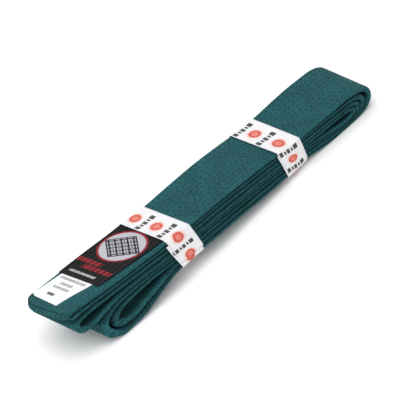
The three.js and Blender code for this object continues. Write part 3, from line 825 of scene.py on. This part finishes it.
def label_stitches(name, corners, inset, lift, pitch, length, mat, sides=(0, 1, 2, 3)):
    c = np.array(corners, float)
    mid = c.mean(0)
    pts, dirs = [], []
    for k in sides:
        a, b = c[k], c[(k + 1) % 4]
        d = (b - a) / np.linalg.norm(b - a)
        inwards = np.array([-d[1], d[0]])
        if np.dot(mid - a, inwards) < 0:
            inwards = -inwards
        a2, b2 = a + inwards * inset + d * inset, b + inwards * inset - d * inset
        count = int(np.linalg.norm(b2 - a2) / pitch)
        for q in range(count):
            pts.append(a2 + (b2 - a2) * (q + 0.5) / count); dirs.append(d)
    pts, dirs = np.array(pts), np.array(dirs)
    n0 = int(150 / FINE)
    s_of = lambda x: np.interp(x, path[:n0, 0], arc[:n0])
    p = surface(s_of(pts[:, 0]), pts[:, 1], 1, lift)
    e = surface(s_of(pts[:, 0] + dirs[:, 0] * 0.3), pts[:, 1] + dirs[:, 1] * 0.3, 1, lift) - p
    _, aa, bb, n = on_face(s_of(pts[:, 0]), pts[:, 1], 1, lift)
    return stitches(name, p, e, n, length, 0.36, 0.24, mat)


woven_thread = label_stitches("woven_label_thread", [(W_X0, W_Y0), (W_X1 - 3.2, W_Y0), (W_X1 - 3.2, -16.9), (W_X0, -15.2)], 0.9, 0.34 + 0.34 + 0.02, 2.4, 1.9, BLACK_THREAD, sides=(0, 2, 3))
size_thread = label_stitches("size_label_thread", [(-108.6, 17.4), (-108.2, 17.3), (-108.2, -7.6), (-108.6, -7.5)], 0.0, 0.07 + 0.17 + 0.02, 2.2, 1.7, WHITE_THREAD, sides=(3,))

# ------------------------------------------------------------------ paper bands
PAPER = 0.16


def hull2(p):
    p = sorted(set(map(tuple, np.round(p, 4))))
    def half(seq):
        out = []
        for q in seq:
            while len(out) > 1 and (out[-1][0] - out[-2][0]) * (q[1] - out[-2][1]) - (out[-1][1] - out[-2][1]) * (q[0] - out[-2][0]) <= 0:
                out.pop()
            out.append(q)
        return out
    lower, upper = half(p), half(p[::-1])
    return np.array(lower[:-1] + upper[:-1])


belt_co = []
for ob in (tip, body, woven):
    c = np.empty(len(ob.data.vertices) * 3, np.float32)
    ob.data.vertices.foreach_get("co", c)
    belt_co.append(c.reshape(-1, 3) / MM)
belt_co = np.concatenate(belt_co)


def outline(xa, xb):
    """The loop of paper round the belt between xa and xb: from the -Y top corner, down the -Y
    side, under, up the +Y side and back over the top."""
    bx = belt_co[:, 0] - OX
    sel = (bx > xa) & (bx < xb)
    hull = hull2(np.stack([belt_co[sel, 1], belt_co[sel, 2] + SLOPE * belt_co[sel, 0]], 1))
    gap, line, n = 0.3, [], len(hull)
    for k in range(n):                                   # counter-clockwise in (y, z)
        a, b, c = hull[k - 1], hull[k], hull[(k + 1) % n]
        d0, d1 = (b - a) / np.linalg.norm(b - a), (c - b) / np.linalg.norm(c - b)
        n0, n1 = np.array([d0[1], -d0[0]]), np.array([d1[1], -d1[0]])
        for f in (0.0, 0.5, 1.0):
            m = n0 * (1 - f) + n1 * f
            line.append(b + m / np.linalg.norm(m) * gap)
    closed = np.vstack([line, line[:1]])
    s = np.concatenate([[0], np.cumsum(np.linalg.norm(np.diff(closed, axis=0), axis=1))])
    fine = np.linspace(0, s[-1], int(s[-1] / 0.1), endpoint=False)
    loop = np.stack([np.interp(fine, s, closed[:, k]) for k in (0, 1)], 1)
    kern = np.hanning(27)[1:-1]; kern /= kern.sum()      # soften the folds a little
    wrap = lambda a: np.convolve(np.concatenate([a[-12:], a, a[:12]]), kern, "valid")
    soft = np.stack([wrap(loop[:, 0]), wrap(loop[:, 1])], 1)
    soft = np.roll(soft, -int(np.argmax(soft @ np.array([-0.6, 0.8]))), axis=0)
    if soft[60, 1] > soft[0, 1] - 2:                     # must run down the -Y side first
        soft = np.roll(soft[::-1], 1, axis=0)
    loop = np.vstack([soft, soft[:1]])
    s = np.concatenate([[0], np.cumsum(np.linalg.norm(np.diff(loop, axis=0), axis=1))])
    return loop, s


COLS = np.linspace(-9.6, 9.6, 17)


def band(name, centre, back, on, marks, skew, tab):
    """One strip of paper wound round the bundle. Each column clears the belt that passes under
    it when the band slides. marks: (arc from the -Y top corner along the paper, pattern phase)
    pairs that place the print."""
    loops = [outline(centre + c - back - 1.2, centre + c + on + 1.2) for c in COLS]
    total = float(np.mean([s[-1] for _, s in loops]))

    def at(q):
        """Places at arc q for every column: (len(q), 17, 2)."""
        out = []
        for loop, s in loops:
            f = np.mod(q, total) / total * s[-1]
            out.append(np.stack([np.interp(f, s, loop[:, k]) for k in (0, 1)], -1))
        out = np.stack(out, 1)
        for _ in range(2):
            pad = np.concatenate([2 * out[:, :1] - out[:, 1:2], out, 2 * out[:, -1:] - out[:, -2:-1]], 1)
            out = pad[:, :-2] * 0.25 + pad[:, 1:-1] * 0.5 + pad[:, 2:] * 0.25
        return out

    middle = np.mean([loop.mean(0) for loop, _ in loops], 0)

    def normal(q):
        d = at(q + 0.3) - at(q - 0.3)
        d /= np.linalg.norm(d, axis=-1)[..., None]
        out = np.stack([d[..., 1], -d[..., 0]], -1)
        return out * np.sign(((at(q) - middle) * out).sum(-1))[..., None]

    # q runs down the -Y side, under, up the +Y side, over the top and down the -Y side again
    q0, q1 = tab, total + tab + 12.5
    q = np.arange(q0, q1 + 0.01, 0.45)
    over = smooth((q - (total + q0 - 3.5)) / 3.0)        # the last stretch lies on the first one
    nq = normal(q)
    centre_line = at(q) + nq * (PAPER * 1.35 * over)[:, None, None]
    shift = skew * (1 - smooth((q - q0) / 26.0))         # wound a little askew at its inner end
    Q, C = np.meshgrid(np.arange(len(q)), COLS, indexing="ij")
    xs = centre + C + shift[Q]
    ripple = 0.05 * np.sin(q[Q] * 0.55 + C * 0.25) * np.sin(C * 0.33 + 1.0) * (np.abs(C) > 4)
    layers = []
    for lift in (0.0, PAPER):
        yz = centre_line + nq * (lift + np.abs(ripple) + 0.02)[..., None]
        layers.append(np.stack([xs + OX, yz[..., 0], np.maximum(yz[..., 1] - SLOPE * (xs + OX), 0.02 + lift)], -1))
    nr, nc = len(q), len(COLS)
    k = nr * nc
    i, j = np.meshgrid(np.arange(nr - 1), np.arange(nc - 1), indexing="ij")
    f = np.stack([i * nc + j, (i + 1) * nc + j, (i + 1) * nc + j + 1, i * nc + j + 1], -1).reshape(-1, 4)
    rim = [a * nc for a in range(nr)] + [(nr - 1) * nc + a for a in range(1, nc)] + [a * nc + nc - 1 for a in range(nr - 2, -1, -1)] + list(range(nc - 2, 0, -1))
    walls = [[rim[a], rim[(a + 1) % len(rim)], k + rim[(a + 1) % len(rim)], k + rim[a]] for a in range(len(rim))]
    ob = new_mesh(name, np.concatenate([l.reshape(-1, 3) for l in layers]), [*(f[:, ::-1]).tolist(), *(f + k).tolist(), *walls])
    import bmesh
    bm = bmesh.new(); bm.from_mesh(ob.data)
    bmesh.ops.recalc_face_normals(bm, faces=bm.faces)
    bm.to_mesh(ob.data); bm.free()
    # pattern phase: measured from the -Y top corner, where q = total on the outer layer
    rel = np.where(q > total / 2, q - total, q)
    mq, mp = np.array(marks, float).T
    phase = np.interp(rel, mq, mp)
    ends = (rel < mq[0]) | (rel > mq[-1])
    phase = np.where(rel < mq[0], mp[0] + (rel - mq[0]), phase)
    phase = np.where(rel > mq[-1], mp[-1] + (rel - mq[-1]), phase)
    att = np.stack([phase[Q], C, np.broadcast_to((q[Q] < q0 + 16) * 1.0, Q.shape)], -1)
    put(ob, "print", np.concatenate([att.reshape(-1, 3)] * 2))
    pad = dict(at=at, normal=normal, total=total, q0=q0)
    return ob, pad


def paper_material():
    g = Graph("printed_paper")
    u, w, inner = g.attribute("print")
    period = 17.5
    fibre = g.noise(0.9, 4.0, 0.6)
    crease = g.noise(0.16, 2.0, 0.55, distortion=0.6)
    white = g.mix(fibre * 0.5 + crease * 0.5, lin(206, 206, 209), lin(226, 226, 228))
    du = (u.mod(period) - period / 2).abs()               # 0 at a mark row, period/2 at a stamp
    ds = du * -1.0 + period / 2                           # 0 at a stamp
    wc = w + 1.1
    dist = (ds * ds + wc * wc).sqrt()
    halo = dist.below(4.9, 0.6)
    disc = dist.below(3.7, 0.3)
    mottle = g.noise(0.95, 2.0, 0.6).below(0.5, 0.12)
    middle = dist.below(2.1, 0.3) * 0.35 + ((dist - 1.25).abs().below(0.28, 0.2)) * 0.35
    stamp = g.mix((mottle * 0.35 + middle).min(1.0), lin(186, 62, 50), lin(218, 138, 120))
    col = g.mix(halo * 0.75, white, lin(224, 182, 172))
    col = g.mix(disc, col, stamp)
    # A row of plain blocks between the stamps.
    ink = None
    for c, hw, hu in ((-6.4, 1.3, 1.75), (-3.3, 0.75, 1.3), (-0.6, 1.2, 1.7), (2.3, 0.7, 1.3), (5.4, 1.6, 1.8)):
        m = (w + 1.1 - c).abs().below(hw, 0.16) * du.below(hu, 0.16)
        ink = m if ink is None else ink.max(m)
    col = g.mix(ink * 0.95, col, lin(20, 19, 21))
    g.colour(col)
    g.bump(crease * 1.0 + fibre * 0.12, 0.0004, 0.45)
    g.rough(fibre * 0.15 + 0.42)
    g.set(Specular_IOR_Level=0.35)
    return g.mat


PAPER_MAT = paper_material()
# phase 0 (mod 17.5) is a stamp... see marks: a stamp sits at phase 0, blocks at phase 8.75
low, low_pad = band("lower_paper_band_strip", -48.0, 0, 6, [(-34.5, -35.0), (-16.5, -17.5), (2.25, 0.0), (13.25, 17.5)], -1.9, 2.2)
upp, upp_pad = band("upper_paper_band_strip", 47.3, 6, 6, [(-35.5, -26.25), (-26.25, -17.5), (-16.5, -8.75), (-6.5, 0.0), (2.5, 8.75), (7.5, 17.5), (12.4, 26.25)], -0.9, 1.6)
for ob in (low, upp):
    ob.data.materials.append(PAPER_MAT)


def glue_material():
    g = Graph("dried_glue")
    tc = g.nt.nodes.new("ShaderNodeTexCoord")
    g.vector = tc.outputs["Object"]
    n = g.noise(900.0, 3.0, 0.6)
    g.colour(g.mix(n, lin(214, 206, 178), lin(240, 236, 216)))
    g.bump(n, 0.0001, 0.4)
    g.rough(n * 0.2 + 0.3)
    return g.mat


GLUE = glue_material()


def glue(name, pad, centre):
    """A thin smear between the two layers of a band."""
    q = np.linspace(pad["q0"] + 2.0, pad["q0"] + 9.0, 15)
    cols = np.linspace(-6.2, 6.2, 13)
    Q, C = np.meshgrid(q, cols, indexing="ij")
    w = 1 - ((Q - q.mean()) / 3.6) ** 2 * 0.5 - (C / 6.4) ** 2 * 0.4
    pick = lambda a: np.stack([np.stack([np.interp(cols, COLS, a[r, :, k]) for k in (0, 1)], -1) for r in range(len(q))])
    base, nn = pick(pad["at"](q)), pick(pad["normal"](q))
    nr, nc = Q.shape
    layers = []
    for lift in (PAPER + 0.025, PAPER + 0.03 + 0.02 * w):
        yz = base + nn * (np.zeros_like(Q) + lift)[..., None]
        x = centre + C
        layers.append(np.stack([x + OX, yz[..., 0], yz[..., 1] - SLOPE * (x + OX)], -1).reshape(-1, 3))
    k = nr * nc
    f = [[i * nc + j, (i + 1) * nc + j, (i + 1) * nc + j + 1, i * nc + j + 1] for i in range(nr - 1) for j in range(nc - 1)]
    rim = [a * nc for a in range(nr)] + [(nr - 1) * nc + a for a in range(1, nc)] + [a * nc + nc - 1 for a in range(nr - 2, -1, -1)] + list(range(nc - 2, 0, -1))
    walls = [[rim[a], rim[(a + 1) % len(rim)], k + rim[(a + 1) % len(rim)], k + rim[a]] for a in range(len(rim))]
    ob = new_mesh(name, np.concatenate(layers), [*[t[::-1] for t in f], *[[v + k for v in t] for t in f], *walls])
    ob.data.materials.append(GLUE)
    return ob


low_glue = glue("lower_band_glue_smear", low_pad, -48.0)
upp_glue = glue("upper_band_glue_smear", upp_pad, 47.3)

# ------------------------------------------------------------------ bodies
for ob in (tip, woven, quilt_tip, woven_thread):
    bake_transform(ob)
for ob in (size, size_thread, hem_tip):
    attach(ob, "loose_end")
for ob in (body, quilt_top, quilt_far, quilt_low, hem_plain):
    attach(ob, "belt")
for ob, g in ((low, low_glue), (upp, upp_glue)):
    b = "lower_paper_band" if ob is low else "upper_paper_band"
    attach(ob, b)
    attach(g, b)

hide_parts("belt_cover", "core_ply_outer", "core_ply_inner")
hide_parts("tip_cover", "tip_core_ply_upper", "tip_core_ply_lower")
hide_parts("woven_label")
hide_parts("size_label")
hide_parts("woven_label_stitching")
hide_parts("size_label_stitching")
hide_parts("tip_hem_stitching")
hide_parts("plain_end_hem_stitching")
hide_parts("lower_band")
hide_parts("upper_band")
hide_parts("lower_band_glue")
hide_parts("upper_band_glue")

# ------------------------------------------------------------------ stage and light
def floor():
    me = bpy.data.meshes.new("floor")
    me.from_pydata([(-4, -4, -0.0001), (4, -4, -0.0001), (4, 4, -0.0001), (-4, 4, -0.0001)], [], [(0, 1, 2, 3)])
    ob = bpy.data.objects.new("floor", me)
    bpy.context.scene.collection.objects.link(ob)
    m = bpy.data.materials.new("floor")
    m.use_nodes = True
    b = m.node_tree.nodes["Principled BSDF"]
    b.inputs["Base Color"].default_value = (0.94, 0.94, 0.94, 1)
    b.inputs["Roughness"].default_value = 0.9
    b.inputs["Specular IOR Level"].default_value = 0.1
    me.materials.append(m)


floor()


def area(name, place, target, size, power, colour=(1, 1, 1)):
    l = bpy.data.lights.new(name, "AREA")
    l.shape, l.size, l.energy, l.color = "DISK", size, power, colour
    ob = bpy.data.objects.new(name, l)
    bpy.context.scene.collection.objects.link(ob)
    p, t = Vector(place), Vector(target)
    ob.matrix_world = Matrix.Translation(p) @ (t - p).to_track_quat("-Z", "Y").to_matrix().to_4x4()


area("key", (-0.4, 0.4, 1.3), (0, 0, 0.01), 1.8, 8.5)
area("fill", (-1.0, -0.75, 0.8), (0, 0, 0.01), 0.9, 1.5)
area("top", (0.35, -0.1, 1.4), (0.05, 0, 0.01), 1.5, 3.5)
world = bpy.data.worlds.new("world")
world.use_nodes = True
world.node_tree.nodes["Background"].inputs[0].default_value = (1, 1, 1, 1)
world.node_tree.nodes["Background"].inputs[1].default_value = 0.92
bpy.context.scene.world = world
bpy.context.scene.view_settings.view_transform = "Standard"
